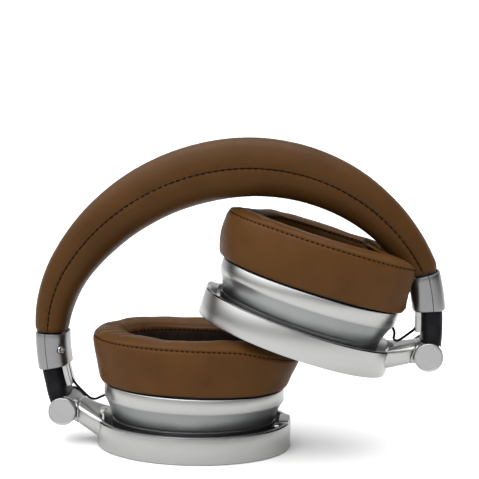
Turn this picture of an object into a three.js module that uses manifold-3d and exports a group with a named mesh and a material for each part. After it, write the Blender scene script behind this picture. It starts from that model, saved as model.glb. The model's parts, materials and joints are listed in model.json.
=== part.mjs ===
// Folding over-ear headphones, lying folded: the left cup flat on its outer face, the right cup
// folded in over it, and the padded headband arching over both. Millimetres, +Z up, front is -Y.
import * as THREE from 'three';
import { mergeVertices } from 'three/addons/utils/BufferGeometryUtils.js';
import Module from 'manifold-3d';

const wasm = await Module();
wasm.setup();

// ---------------------------------------------------------------- driving dimensions
const GAP = 0.3;                 // running gap between neighbouring pieces
const DEG = Math.PI / 180;

// cup and yoke ring: ellipses that share one width-to-length ratio
const ASPECT = 0.765;            // ellipse width over length
const RING_A = 45;               // yoke ring, half length
const RING_WALL = 2.2;
const RING_H = 12.3;
const FLANGE_A = 41.8;           // cup shell at the pad, half length
const WAIST_A = 37.9;            // cup shell inside the ring, half length
const CUP_WALL = 1.8;
const CUP_LOW = 4;               // lower edge of the cup shell above the ring's outer face
const CUP_TOP = 28.8;            // upper edge of the cup shell
const PAD_TILT = 0.0247;         // slope of the pad plane, lower towards the far end
const PIVOT_Z = 9;               // height of the cup's swivel axis
const PIN_R = 1.5;

// ear pad
const PAD_A = 47;                // outer bulge, half length
const PAD_B = 36;                // outer bulge, half width
const HOLE_A = 28.5;             // ear opening, half length
const HOLE_B = 16.5;
const PAD_LOW = 30.6;
const PAD_HIGH = 54.6;
const PAD_POWER = 2.2;           // superellipse power of the pad's outline
const PAD_THIN = 8;              // how thin the pad's near end is squeezed

// folding hinge, in the cup's frame
const HINGE_X = -59.7;
const HINGE_Z = 16;
const KNUCKLE_R = 6.2;
const KNUCKLE_HALF = 8.3;        // half length of the yoke's knuckle
const CHEEK_OUT = 9.7;           // outer face of the arm's cheeks
const CAP_OUT = 12.3;            // outer face of the hinge caps
const HINGE_PIN_R = 2;

// slider arm: an arc that starts at the hinge
const ARM_R = 86;                // radius of the arm's arc
const ARM_LEAN = 16.1 * DEG;     // how far the arm leans inwards at the hinge
const ARM_OFFSET = 0.5;          // hinge axis outside the arc
const ARM_TOP = 36;              // arm's upper end, along the arc
const COLLAR_LOW = 20;           // collar's ends, along the arc
const COLLAR_TOP = 36.3;
const COLLAR_T = 14.8;           // collar, across the band
const COLLAR_W = 20;             // collar, front to back

// the band and arms lean over as one; the right cup lies folded at its own angle
const LEAN = 7.3 * DEG;
const RIGHT_TILT = 18 * DEG;
const RIGHT_PLACE = new THREE.Vector3(44.7, 0, 49.2);

// headband centre line: arcs from the left collar to the right one, [radius, degrees]
const BAND_START = new THREE.Vector2(-66.7, 52.1);
const BAND_HEADING = 87.6 * DEG;
const BAND_ARCS = [[62, 31.9], [102.7, 48.2], [88.4, 27.7], [83.6, 41], [14.4, 12.3]];
const BAND_END_T = 14.6;         // thickness and width at the collars
const BAND_END_W = 19;
const BAND_MID_T = 27;           // thickness and width at the crown
const BAND_MID_W = 34;
const BAND_POWER = 2.6;
const LEATHER = 1.3;
const BAND_STEPS = 200;           // steps in which the centre line is walked
const CORE_FROM = 0.06;          // the foam, spring and cable run between these shares of it
const CORE_TO = 0.94;

// ---------------------------------------------------------------- materials
const finish = (color, roughness, metalness) => () =>
  new THREE.MeshStandardMaterial({ color, roughness, metalness });
const leather = finish(0x5a3e26, 0.55, 0);
const foamGrey = finish(0x3a3a3c, 0.95, 0);
const satinAluminium = finish(0xb8bab8, 0.35, 1);
const polishedAluminium = finish(0xd4d6d6, 0.15, 1);
const steel = finish(0x9a9c9e, 0.3, 1);
const blackPlastic = finish(0x1a1a1c, 0.5, 0);
const blackRubber = finish(0x101010, 0.8, 0);
const cloth = finish(0x181614, 0.95, 0);
const boardGreen = finish(0x1f4d33, 0.6, 0);
const coneGrey = finish(0x6a6a62, 0.6, 0);

// ---------------------------------------------------------------- solids
function facingOut(geometry) {
  const p = geometry.attributes.position;
  const index = geometry.index.array;
  const [a, b, c] = [new THREE.Vector3(), new THREE.Vector3(), new THREE.Vector3()];
  let volume = 0;
  for (let i = 0; i < index.length; i += 3) {
    a.fromBufferAttribute(p, index[i]);
    b.fromBufferAttribute(p, index[i + 1]);
    c.fromBufferAttribute(p, index[i + 2]);
    volume += a.dot(b.cross(c));
  }
  if (volume < 0) {
    for (let i = 0; i < index.length; i += 3) {
      [index[i], index[i + 1]] = [index[i + 1], index[i]];
    }
  }
  return geometry;
}

function closed(geometry) {
  const bare = geometry.clone();
  bare.deleteAttribute('normal');
  bare.deleteAttribute('uv');
  return facingOut(mergeVertices(bare, 1e-4));
}

function solid(geometry) {
  const g = closed(geometry);
  return new wasm.Manifold(new wasm.Mesh({
    numProp: 3,
    vertProperties: new Float32Array(g.attributes.position.array),
    triVerts: new Uint32Array(g.index.array),
  }));
}

function shapeOf(body) {
  const mesh = body.getMesh();
  const g = new THREE.BufferGeometry();
  g.setAttribute('position', new THREE.BufferAttribute(new Float32Array(mesh.vertProperties), 3));
  g.setIndex(new THREE.BufferAttribute(new Uint32Array(mesh.triVerts), 1));
  return g;
}

function join(first, ...others) {
  return shapeOf(others.reduce((body, g) => body.add(solid(g)), solid(first)));
}

function cut(first, ...tools) {
  return shapeOf(tools.reduce((body, g) => body.subtract(solid(g)), solid(first)));
}

const keep = (first, tool) => shapeOf(solid(first).intersect(solid(tool)));

// a closed skin through equal rows of points; capped at both ends, or run round into a ring
function skin(rows, { ring = false } = {}) {
  const n = rows[0].length;
  const positions = rows.flat().flatMap((v) => [v.x, v.y, v.z]);
  const index = [];
  const spans = ring ? rows.length : rows.length - 1;
  for (let i = 0; i < spans; i++) {
    const next = (i + 1) % rows.length;
    for (let j = 0; j < n; j++) {
      const k = (j + 1) % n;
      const [a, b, c, d] = [i * n + j, i * n + k, next * n + k, next * n + j];
      index.push(a, b, c, a, c, d);
    }
  }
  if (!ring) {
    const origin = rows[0][0];
    const u = rows[0][1].clone().sub(origin).normalize();
    const normal = new THREE.Vector3();
    rows[0].forEach((v, j) => normal.add(v.clone().sub(origin).cross(
      rows[0][(j + 1) % n].clone().sub(origin))));
    const w = normal.normalize().clone().cross(u);
    const flat = rows[0].map((v) => {
      const d = v.clone().sub(origin);
      return new THREE.Vector2(d.dot(u), d.dot(w));
    });
    const last = (rows.length - 1) * n;
    for (const [a, b, c] of THREE.ShapeUtils.triangulateShape(flat, [])) {
      index.push(a, c, b, last + a, last + b, last + c);
    }
  }
  const g = new THREE.BufferGeometry();
  g.setAttribute('position', new THREE.Float32BufferAttribute(positions, 3));
  g.setIndex(index);
  return facingOut(g);
}

// a turned profile of [radius, height], stretched into the cup's ellipse
function turned(profile, { aspect = ASPECT, segments = 32 } = {}) {
  const points = profile.map(([r, z]) => new THREE.Vector2(r, z));
  const g = new THREE.LatheGeometry(points, segments);
  g.rotateX(Math.PI / 2);
  g.scale(1, aspect, 1);
  return closed(g);
}

// a turned ring whose profile closes on itself
const hoop = (profile, options) => turned([...profile, profile[0]], options);

const disc = (r, low, high, options) => turned([[0, low], [r, low], [r, high], [0, high]], options);

function block(x0, x1, y0, y1, z0, z1) {
  const g = new THREE.BoxGeometry(x1 - x0, y1 - y0, z1 - z0);
  return g.translate((x0 + x1) / 2, (y0 + y1) / 2, (z0 + z1) / 2);
}

// a round bar along X or Y
function bar(axis, r, from, to, [u, v], segments = 20) {
  const g = new THREE.CylinderGeometry(r, r, to - from, segments);
  const mid = (from + to) / 2;
  if (axis === 'x') return g.rotateZ(Math.PI / 2).translate(mid, u, v);
  return g.translate(u, mid, v);
}

const signedPower = (value, power) => Math.sign(value) * Math.abs(value) ** power;

// a superellipse point: half sizes a, b; power 2 is an ellipse, more is boxier
const oval = (a, b, power, t) =>
  [a * signedPower(Math.cos(t), 2 / power), b * signedPower(Math.sin(t), 2 / power)];

const ovalLoop = (a, b, power, count) =>
  Array.from({ length: count }, (_, i) => oval(a, b, power, (2 * Math.PI * i) / count));

// half of a hollow oval, the part beyond or below the cut line at x = limit
function halfShell(outer, inner, power, innerPower, limit, beyond, count) {
  const arc = ([a, b], p) => {
    const edge = Math.acos(signedPower(limit / a, p / 2));
    const [from, to] = beyond ? [-edge, edge] : [edge, 2 * Math.PI - edge];
    return Array.from({ length: count }, (_, i) =>
      oval(a, b, p, from + ((to - from) * i) / (count - 1)));
  };
  return [...arc(outer, power), ...arc(inner, innerPower).reverse()];
}

// ---------------------------------------------------------------- the arm's arc
// In the arm's frame the hinge axis is the origin, the arm rises and the head is towards +X.
const ARC_CENTRE = new THREE.Vector2(Math.cos(ARM_LEAN), Math.sin(ARM_LEAN))
  .multiplyScalar(ARM_R + ARM_OFFSET);

// a point at length s along the arc, n outwards from it and y to the side
function onArm(s, n, y) {
  const angle = ARM_LEAN - s / ARM_R;
  const r = ARM_R + n;
  return new THREE.Vector3(
    ARC_CENTRE.x - r * Math.cos(angle), y, ARC_CENTRE.y - r * Math.sin(angle));
}

function alongArm(from, to, steps, section) {
  return skin(Array.from({ length: steps + 1 }, (_, i) => {
    const s = from + ((to - from) * i) / steps;
    return section(s).map(([n, y]) => onArm(s, n, y));
  }));
}

// ---------------------------------------------------------------- headband
function bandPath(steps) {
  const stations = [];
  const total = BAND_ARCS.reduce((sum, [r, d]) => sum + r * d * DEG, 0);
  for (let i = 0; i <= steps; i++) {
    let left = (total * i) / steps;
    let heading = BAND_HEADING;
    const at = BAND_START.clone();
    for (const [r, degrees] of BAND_ARCS) {
      const run = Math.min(left, r * degrees * DEG);
      const turn = run / r;
      const chord = 2 * r * Math.sin(turn / 2);
      at.x += chord * Math.cos(heading - turn / 2);
      at.y += chord * Math.sin(heading - turn / 2);
      heading -= turn;
      left -= run;
      if (left <= 1e-9) break;
    }
    stations.push({ at, heading, share: i / steps });
  }
  return stations;
}

const swell = (share) => Math.cos(Math.abs(share * 2 - 1) * Math.PI / 2);
const bandThickness = (share) => BAND_END_T + (BAND_MID_T - BAND_END_T) * swell(share);
const bandWidth = (share) => BAND_END_W + (BAND_MID_W - BAND_END_W) * swell(share);

function alongBand(section, from = 0, to = 1, steps = 24) {
  const stations = bandPath(BAND_STEPS);
  const rows = Array.from({ length: steps + 1 }, (_, i) => {
    const share = from + ((to - from) * i) / steps;
    const { at, heading } = stations[Math.round(share * BAND_STEPS)];
    return section(share).map(([n, y]) => new THREE.Vector3(
      at.x - n * Math.sin(heading), y, at.y + n * Math.cos(heading)));
  });
  return skin(rows);
}

function leatherPanel(upper) {
  return alongBand((share) => {
    const t = bandThickness(share) / 2;
    const w = bandWidth(share) / 2;
    return halfShell([t, w], [t - LEATHER, w - LEATHER], BAND_POWER, BAND_POWER,
      upper ? GAP / 2 : -GAP / 2, upper, 7);
  });
}

const CORE_GAP = 1;              // half the room between the two foam halves
const SPRING_HALF = 5;           // spring steel strip, half width
const SPRING_Y = -1.6;           // strip and cable lie side by side between the foam halves
const CABLE_Y = 5.6;
const LEAD_R = 0.6;              // radius of the cable and of the short leads

function foamHalf(upper) {
  return alongBand((share) => {
    const t = bandThickness(share) / 2 - LEATHER - GAP;
    const w = bandWidth(share) / 2 - LEATHER - GAP;
    const edge = Math.acos((CORE_GAP / t) ** (BAND_POWER / 2));
    const side = upper ? 1 : -1;
    return Array.from({ length: 7 }, (_, i) => {
      const [n, y] = oval(t, w, BAND_POWER, edge * (1 - i / 3));
      return [n * side, y];
    });
  }, CORE_FROM, CORE_TO, 20);
}

const strip = (halfWidth, centre, halfThickness) => () =>
  [[-halfThickness, centre - halfWidth], [halfThickness, centre - halfWidth],
    [halfThickness, centre + halfWidth], [-halfThickness, centre + halfWidth]];

function bandInsert(from, to) {
  const clear = LEATHER + 0.8;
  return alongBand((share) => ovalLoop(bandThickness(share) / 2 - clear,
    bandWidth(share) / 2 - clear, BAND_POWER, 16), from, to, 3);
}

const cableLoop = (r, y0) => () => ovalLoop(r, r, 2, 6).map(([n, y]) => [n, y + y0]);

function headband() {
  return [
    ['headband_top_leather', leatherPanel(true), leather()],
    ['headband_lower_leather', leatherPanel(false), leather()],
    ['headband_top_foam', foamHalf(true), foamGrey()],
    ['headband_lower_foam', foamHalf(false), foamGrey()],
    ['headband_spring', alongBand(strip(SPRING_HALF, SPRING_Y, 0.5), CORE_FROM, CORE_TO, 20), steel()],
    ['headband_cable', alongBand(cableLoop(LEAD_R, CABLE_Y), CORE_FROM, CORE_TO, 20), blackRubber()],
    ['left_band_insert', bandInsert(0.005, 0.055), blackPlastic()],
    ['right_band_insert', bandInsert(0.945, 0.995), blackPlastic()],
  ];
}

// ---------------------------------------------------------------- collar
const COLLAR_SPLIT = 1.5;        // the seam lies outwards of the middle
const COLLAR_WALL = 0.9;
const SCREW_AT = { s: 28.5, n: -5.2, y: -8.35 };

function collarHalf(outerHalf) {
  const outer = [COLLAR_T / 2, COLLAR_W / 2];
  const inner = [COLLAR_T / 2 - COLLAR_WALL, COLLAR_W / 2 - 1.7];
  const limit = COLLAR_SPLIT + (outerHalf ? GAP / 2 : -GAP / 2);
  return alongArm(COLLAR_LOW, COLLAR_TOP, 3,
    () => halfShell(outer, inner, 3, 4, limit, outerHalf, 9));
}

// the screw stands square to the rounded corner it sits in
function screwShape(r, from, to) {
  const g = new THREE.CylinderGeometry(r, r, to - from, 16).translate(0, (from + to) / 2, 0);
  const middle = onArm(SCREW_AT.s, SCREW_AT.n, SCREW_AT.y);
  const out = onArm(SCREW_AT.s, SCREW_AT.n - 0.62, SCREW_AT.y - 0.78).sub(middle).normalize();
  g.applyQuaternion(new THREE.Quaternion().setFromUnitVectors(new THREE.Vector3(0, 1, 0), out));
  return g.translate(middle.x, middle.y, middle.z);
}

// ---------------------------------------------------------------- arm and hinge
const CORE_OUT = 6;              // the black arm, outwards of the arc
const CORE_IN = -3.4;
const ARM_HALF = 7.5;

function armSection(s) {
  const half = (CORE_OUT - CORE_IN) / 2;
  const widen = THREE.MathUtils.clamp((15 - s) / 8, 0, 1);
  const side = ARM_HALF + (CHEEK_OUT - ARM_HALF) * widen;
  return ovalLoop(half, side, 3.2, 16).map(([n, y]) => [n + half + CORE_IN, y]);
}

function sliderArm() {
  const body = alongArm(-1, ARM_TOP, 7, armSection);
  const room = bar('y', KNUCKLE_R + 0.6, -KNUCKLE_HALF - GAP, KNUCKLE_HALF + GAP, [0, 0]);
  const cheek = (side) => bar('y', KNUCKLE_R, ...[side * (KNUCKLE_HALF + GAP), side * CHEEK_OUT]
    .sort((a, b) => a - b), [0, 0]);
  const bore = bar('y', HINGE_PIN_R + GAP, -20, 20, [0, 0]);
  return cut(join(cut(body, room), cheek(-1), cheek(1)), bore);
}

const RAIL_OUT = -3.7;
const RAIL_IN = -6;
const RAIL_HALF = 4;
const RAIL_LOW = 9.5;            // rail's lower end, along the arc
const SLOT_HALF = 0.9;           // the slot that the lead lies in
const SLOT_DEPTH = 1.3;

function sliderRail() {
  const floor = RAIL_IN + SLOT_DEPTH;
  return alongArm(RAIL_LOW, ARM_TOP - 1, 8, () => [
    [RAIL_OUT, -RAIL_HALF], [RAIL_OUT, RAIL_HALF], [RAIL_IN, RAIL_HALF], [RAIL_IN, SLOT_HALF],
    [floor, SLOT_HALF], [floor, -SLOT_HALF], [RAIL_IN, -SLOT_HALF], [RAIL_IN, -RAIL_HALF],
  ]);
}

function hingeCap(side) {
  const inner = CHEEK_OUT + GAP;
  const cap = new THREE.LatheGeometry([[0, inner], [6.1, inner], [6.4, inner + 0.4],
    [6.4, CAP_OUT - 0.5], [5.9, CAP_OUT], [0, CAP_OUT]].map(([r, y]) => new THREE.Vector2(r, y)),
  24);
  if (side < 0) cap.rotateX(Math.PI);
  const bore = [side * (inner - 1), side * (inner + 1.5)].sort((a, b) => a - b);
  return cut(cap, bar('y', HINGE_PIN_R + GAP, ...bore, [0, 0]));
}

// a full arm in its own frame; the names take the side's prefix
function armAssembly() {
  const screwHole = screwShape(1.2, -4, 4);
  return [
    ['collar_outer', collarHalf(true), satinAluminium()],
    ['collar_inner', cut(collarHalf(false), screwHole), satinAluminium()],
    ['collar_screw', join(screwShape(1.7, 0.45, 1.2), screwShape(0.85, -1.3, 0.6)), steel()],
    ['slider_arm', sliderArm(), blackPlastic()],
    ['slider_rail', sliderRail(), satinAluminium()],
    ['hinge_pin', bar('y', HINGE_PIN_R, -CHEEK_OUT - 1.4, CHEEK_OUT + 1.4, [0, 0]), steel()],
    ['hinge_cap_front', hingeCap(-1), satinAluminium()],
    ['hinge_cap_rear', hingeCap(1), satinAluminium()],
  ];
}

// ---------------------------------------------------------------- yoke
const BOSS_HALF = 6.5;           // pivot boss at the far end of the ring, half width
const BOSS_RISE = 1.3;           // and how far it stands above the ring's edge

function neck() {
  // [x, low z, high z, half width], from the hinge to the ring
  const steps = [
    [-59.7, 10.6, 21.4, 8.2], [-55, 9.8, 20.6, 8.2], [-50.5, 7.4, 18, 9],
    [-46.5, 4.8, 15.6, 11.4], [-41.6, 2.6, 13.4, 14],
  ];
  return skin(steps.map(([x, low, high, half]) => ovalLoop((high - low) / 2, half, 4, 20)
    .map(([z, y]) => new THREE.Vector3(x, y, z + (low + high) / 2))));
}

function yoke() {
  const inner = RING_A - RING_WALL;
  const ring = hoop([[inner, 0.5], [inner + 0.4, 0], [RING_A - 0.5, 0], [RING_A, 0.5],
    [RING_A, RING_H - 0.9], [RING_A - 0.8, RING_H], [inner, RING_H]]);
  const knuckle = bar('y', KNUCKLE_R, -KNUCKLE_HALF, KNUCKLE_HALF, [HINGE_X, HINGE_Z]);
  const boss = keep(block(39.7, 46, -BOSS_HALF, BOSS_HALF, 4, RING_H + BOSS_RISE),
    disc(RING_A - 0.1, 0, 20));
  const outside = cut(neck(), disc(inner + 0.2, -1, 30));
  return cut(join(ring, boss, outside, knuckle),
    bar('y', HINGE_PIN_R + GAP, -20, 20, [HINGE_X, HINGE_Z]),
    bar('x', PIN_R + GAP, -46.3, -40, [0, PIVOT_Z]),
    bar('x', PIN_R + GAP, 39, 43.5, [0, PIVOT_Z]));
}

// ---------------------------------------------------------------- cup
// the pad end of the cup slopes: nothing below the waist, all of it at the pad
function sloped(geometry) {
  const p = geometry.attributes.position;
  for (let i = 0; i < p.count; i++) {
    const share = THREE.MathUtils.clamp((p.getZ(i) - 13) / 13, 0, 1);
    p.setZ(i, p.getZ(i) - PAD_TILT * p.getX(i) * share);
  }
  return geometry;
}

const SOCKET_TURN = 28 * DEG;    // the cable socket, round from the far end
const SOCKET_Z = 19;
const JACK_R = 1.75;             // bore for a 3.5 mm plug

function socketShape(r, from, to) {
  return bar('x', r, from, to, [0, SOCKET_Z]).rotateZ(SOCKET_TURN);
}

const LEAD_ENTRY_Z = 22;         // where the short lead enters the near end of the cup

function cupShell(hasSocket) {
  const w = CUP_WALL;
  const outer = [[WAIST_A, CUP_LOW], [WAIST_A, 12], [38.2, 14.4], [39, 17], [40.3, 20],
    [FLANGE_A, 22.6], [FLANGE_A, CUP_TOP]];
  const inner = [[FLANGE_A - w, CUP_TOP], [FLANGE_A - w, 26.2], [39.2, 24.6], [37.6, 21],
    [36.4, 17], [WAIST_A - w, 12], [WAIST_A - w, CUP_LOW]];
  const lug = block(-41.5, -36.6, -5, 5, 5, 15.2);
  const holes = [
    bar('x', PIN_R + GAP, -44, -34, [0, PIVOT_Z]),
    bar('x', PIN_R + GAP, 34, 44, [0, PIVOT_Z]),
    bar('x', 1, -44, -37, [0, LEAD_ENTRY_Z], 12),
  ];
  if (hasSocket) holes.push(socketShape(3.3, 30, 44));
  return cut(join(sloped(hoop([...outer, ...inner])), lug), ...holes);
}

function earPad({ topAt, wallAt }) {
  // share of the way from the outer outline to the ear opening, and share of the height
  const section = [[0.3, 0], [0.9, 0], [1, 0.45], [0.96, 0.8], [0.82, 0.95], [0.6, 1],
    [0.34, 0.98], [0.12, 0.86], [0, 0.5], [0.1, 0.15]];
  const steps = 32;
  const rows = Array.from({ length: steps }, (_, i) => {
    const t = (2 * Math.PI * i) / steps;
    const [ox, oy] = oval(PAD_A, PAD_B, PAD_POWER, t);
    const [hx, hy] = oval(HOLE_A, HOLE_B, 2, t);
    return section.map(([share, up]) => {
      const wall = wallAt(oy, PAD_LOW + (PAD_HIGH - PAD_LOW) * up);
      const from = Math.max(ox, wall);
      const x = from + (Math.max(hx, wall + PAD_THIN) - from) * share;
      return new THREE.Vector3(x, oy + (hy - oy) * share, PAD_LOW + (topAt(x) - PAD_LOW) * up);
    });
  });
  return sloped(skin(rows, { ring: true }));
}

// the left pad is pressed down at its far end by the right cup that lies on it
const pressedPad = {
  topAt: (x) => Math.min(PAD_HIGH,
    RIGHT_PLACE.z + (RIGHT_PLACE.x - x) * Math.tan(RIGHT_TILT) - 1.2),
  wallAt: () => -PAD_A,
};

// the right pad gives way where its near end meets the collar and the headband
const dentedPad = {
  topAt: () => PAD_HIGH,
  wallAt: (y, z) => {
    const above = THREE.MathUtils.clamp((z - 33) / 20, 0, 1.1);
    const wall = -44.4 + 11.5 * above + 6.5 * above ** 3;
    const blend = THREE.MathUtils.smoothstep(Math.abs(y), 14, 21);
    return wall + (-PAD_A - wall) * blend;
  },
};

function cupAssembly(isLeft) {
  const pieces = [
    ['yoke', yoke(), satinAluminium()],
    ['pivot_pin_near', bar('x', PIN_R, -45.9, -35.2, [0, PIVOT_Z]), steel()],
    ['pivot_pin_far', bar('x', PIN_R, 35.2, 43.1, [0, PIVOT_Z]), steel()],
    ['cup_shell', cupShell(isLeft), satinAluminium()],
    ['back_plate', backPlate(), polishedAluminium()],
    ['baffle', baffle(), blackPlastic()],
    ['driver_frame', driverFrame(), blackPlastic()],
    ['driver_magnet', disc(11, 10.6, 16.4, { aspect: 1, segments: 24 }), steel()],
    ['driver_diaphragm', diaphragm(), coneGrey()],
    ['ear_cloth', sloped(disc(31, 29.1, 29.7)), cloth()],
    ['pad_ring', sloped(hoop([[31.5, 29.1], [41.3, 29.1], [41.3, 30.3], [31.5, 30.3]])),
      blackPlastic()],
    ['ear_pad', earPad(isLeft ? pressedPad : dentedPad), leather()],
  ];
  if (isLeft) {
    pieces.push(['circuit_board', block(-16, 16, -12, 12, 7, 8.2), boardGreen()]);
    pieces.push(['audio_socket', socket(), blackPlastic()]);
  }
  return pieces;
}

function backPlate() {
  const r = WAIST_A - CUP_WALL - GAP;
  return turned([[0, 4.6], [r - 3, 4.6], [r - 2, 3.7], [r, 3.7], [r, 6.2], [0, 6.2]]);
}

const DRIVER_MOUTH = 17.4;       // radius of the baffle's hole over the driver

function baffle() {
  const plate = disc(FLANGE_A - CUP_WALL - GAP, 27, 28.6);
  const mouth = disc(DRIVER_MOUTH, 20, 40, { aspect: 1, segments: 24 });
  return sloped(cut(plate, mouth));
}

function driverFrame() {
  return hoop([[18.2, 23.6], [20.5, 23.6], [20.5, 25.9], [18.2, 25.9], [17.6, 24.2],
    [11.6, 17.6], [11.6, 16.7], [12.6, 16.7]], { aspect: 1, segments: 24 });
}

function diaphragm() {
  return turned([[0, 26.6], [9, 24.8], [17.2, 25.1], [17.2, 25.5], [9, 25.3], [0, 27.1]],
    { aspect: 1, segments: 20 });
}

function socket() {
  const barrel = join(socketShape(3, 30.5, 39.6), socketShape(4.2, 29, 30.8));
  return cut(barrel, socketShape(JACK_R, 32, 41));
}

// the short lead that lies in the rail's slot, leaves its lower end, hangs and enters the cup
function cupLead(arm, cup, hanging) {
  const fromSlot = [[17, -5.6], [13, -5.6], [10.6, -6.1]].map(([s, n]) =>
    arm.localToWorld(onArm(s, n, 0)));
  const intoCup = [[-41.2, LEAD_ENTRY_Z - 0.3], [-38.6, LEAD_ENTRY_Z]];
  const onCup = [...hanging, ...intoCup].map(([x, z]) =>
    cup.localToWorld(new THREE.Vector3(x, 0, z)));
  const path = new THREE.CatmullRomCurve3([...fromSlot, ...onCup]);
  const round = new THREE.Shape(ovalLoop(LEAD_R, LEAD_R, 2, 8)
    .map(([x, y]) => new THREE.Vector2(x, y)));
  return new THREE.ExtrudeGeometry(round, { extrudePath: path, steps: 20, bevelEnabled: false });
}

// ---------------------------------------------------------------- assembly
function addPieces(group, prefix, pieces) {
  for (const [name, geometry, material] of pieces) {
    const mesh = new THREE.Mesh(closed(geometry), material);
    mesh.name = prefix + name;
    group.add(mesh);
  }
  return group;
}

// the cup's frame puts the ring's outer face at z = 0 and the far end towards +X
const leftCup = addPieces(new THREE.Group(), 'left_', cupAssembly(true));
const rightCup = addPieces(new THREE.Group(), 'right_', cupAssembly(false));
rightCup.position.copy(RIGHT_PLACE);
rightCup.rotation.set(0, RIGHT_TILT, Math.PI);

const leftArm = addPieces(new THREE.Group(), 'left_', armAssembly());
const rightArm = addPieces(new THREE.Group(), 'right_', armAssembly());
const hingePoint = new THREE.Vector3(HINGE_X, 0, HINGE_Z);
leftArm.position.copy(hingePoint);
leftArm.rotation.set(0, -LEAN, 0);
rightCup.updateMatrixWorld();
rightArm.position.copy(rightCup.localToWorld(hingePoint.clone()));
rightArm.rotation.set(0, -LEAN, Math.PI);

leftArm.updateMatrixWorld();
rightArm.updateMatrixWorld();
const leftHang = [[-54.4, 24.8], [-51.6, 22.1], [-49, 19.9], [-46.4, 19.5], [-43.6, 20.8]];
const rightHang = [[-49.4, 21.8], [-47.4, 18.9], [-45.4, 16.7], [-43.6, 17], [-43, 19.6]];
const leads = addPieces(new THREE.Group(), '', [
  ['left_cup_lead', cupLead(leftArm, leftCup, leftHang), blackRubber()],
  ['right_cup_lead', cupLead(rightArm, rightCup, rightHang), blackRubber()],
]);

const band = addPieces(new THREE.Group(), '', headband());

// the origin is under the middle of the whole object
const assembly = new THREE.Group();
assembly.add(band, leftArm, rightArm, leftCup, rightCup, leads);
const box = new THREE.Box3().setFromObject(assembly);
assembly.position.set(-(box.min.x + box.max.x) / 2, -(box.min.y + box.max.y) / 2, -box.min.z);

const headphones = new THREE.Group();
headphones.add(assembly);
export default headphones;
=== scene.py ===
# Folding over-ear headphones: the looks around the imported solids. Local frames are in millimetres.
import json
import math

import bmesh
import bpy
from mathutils import Matrix, Quaternion, Vector, noise


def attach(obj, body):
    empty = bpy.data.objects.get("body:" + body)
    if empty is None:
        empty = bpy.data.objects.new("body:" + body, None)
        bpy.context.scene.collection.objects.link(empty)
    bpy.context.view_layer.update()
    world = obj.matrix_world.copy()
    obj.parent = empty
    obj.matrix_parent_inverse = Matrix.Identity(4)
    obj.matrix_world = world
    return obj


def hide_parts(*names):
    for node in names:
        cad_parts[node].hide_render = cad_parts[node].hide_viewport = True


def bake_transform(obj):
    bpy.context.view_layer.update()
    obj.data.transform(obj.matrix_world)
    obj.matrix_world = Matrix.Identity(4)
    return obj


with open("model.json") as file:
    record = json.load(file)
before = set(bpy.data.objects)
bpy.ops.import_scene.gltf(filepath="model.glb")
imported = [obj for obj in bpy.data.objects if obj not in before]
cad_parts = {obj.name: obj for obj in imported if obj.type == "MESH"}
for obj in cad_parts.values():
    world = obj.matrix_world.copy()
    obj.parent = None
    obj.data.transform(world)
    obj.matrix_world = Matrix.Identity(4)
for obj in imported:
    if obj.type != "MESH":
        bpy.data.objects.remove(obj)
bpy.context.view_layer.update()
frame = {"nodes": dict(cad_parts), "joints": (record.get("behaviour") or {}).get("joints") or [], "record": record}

# ------------------------------------------------------------------ driving dimensions, mm
ASPECT = 0.765                   # cup and ring ellipses: width over length
RING_A, RING_WALL, RING_H = 45, 2.2, 12.3
BOSS_RISE = 1.2
PAD_A, PAD_B, PAD_POWER = 47, 36, 2.2
HOLE_A, HOLE_B = 28.5, 16.5
PAD_LOW, PAD_HIGH, PAD_THIN = 30.6, 54.6, 8
PAD_TILT = 0.0247                # slope of the pad plane
PAD_SQUEEZE = 2.9                # bulge of the left pad's pressed end, per unit of height
PIVOT_Z = 9                      # swivel axis above the ring's outer face
RIGHT_TILT = math.radians(18)
RIGHT_PLACE = (44.7, 49.2)
HINGE_X, HINGE_Z = -59.7, 16
KNUCKLE_R, KNUCKLE_HALF = 6.2, 8.3
CHEEK_OUT, CAP_OUT, CAP_R = 9.7, 12.3, 6.4
ARM_R, ARM_LEAN, ARM_OFFSET, ARM_TOP = 86, math.radians(16.1), 0.5, 36
ARM_HALF = 7.5
COLLAR_LOW, COLLAR_TOP = 20, 36.3
COLLAR_T, COLLAR_W, COLLAR_SPLIT, COLLAR_WALL = 14.8, 20, 1.5, 0.9
LEAN = math.radians(7.3)
BAND_START = (-66.7, 52.1)
BAND_HEADING = math.radians(87.6)
BAND_ARCS = [(62, 31.9), (102.7, 48.2), (88.4, 27.7), (83.6, 41), (14.4, 12.3)]
BAND_END, BAND_MID = (14.6, 19), (27, 34)     # thickness and width at the ends and at the crown
BAND_POWER = 2.6
BAND_SEAM_GAP = 0.05             # half the gap between the two leather panels
LEAD_R = 0.6
LEAD_ENTRY_Z = 22                # where each lead enters its cup
STITCH_PITCH = 2.9


# ------------------------------------------------------------------ frames, taken from the joints
def placed(origin, x, y, z):
    """Matrix from a local frame in mm to the row frame in metres."""
    turn = Matrix((x, y, z)).transposed().to_4x4()
    return Matrix.Translation(origin) @ turn @ Matrix.Scale(0.001, 4)


joints = {j["name"]: j for j in frame["joints"]}


def cup_frame(side):
    joint = joints[side + "_swivel"]
    x = Vector(joint["axis"]).normalized()
    z = Vector((-x.z, 0, x.x)) if x.x > 0 else Vector((x.z, 0, -x.x))
    return placed(Vector(joint["pos_m"]) - z * PIVOT_Z * 0.001, x, z.cross(x), z)


def arm_frame(side):
    way = 1 if side == "left" else -1
    x = Vector((math.cos(LEAN), 0, math.sin(LEAN))) * way
    z = Vector((-math.sin(LEAN), 0, math.cos(LEAN)))
    return placed(joints[side + "_fold"]["pos_m"], x, z.cross(x), z)


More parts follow.
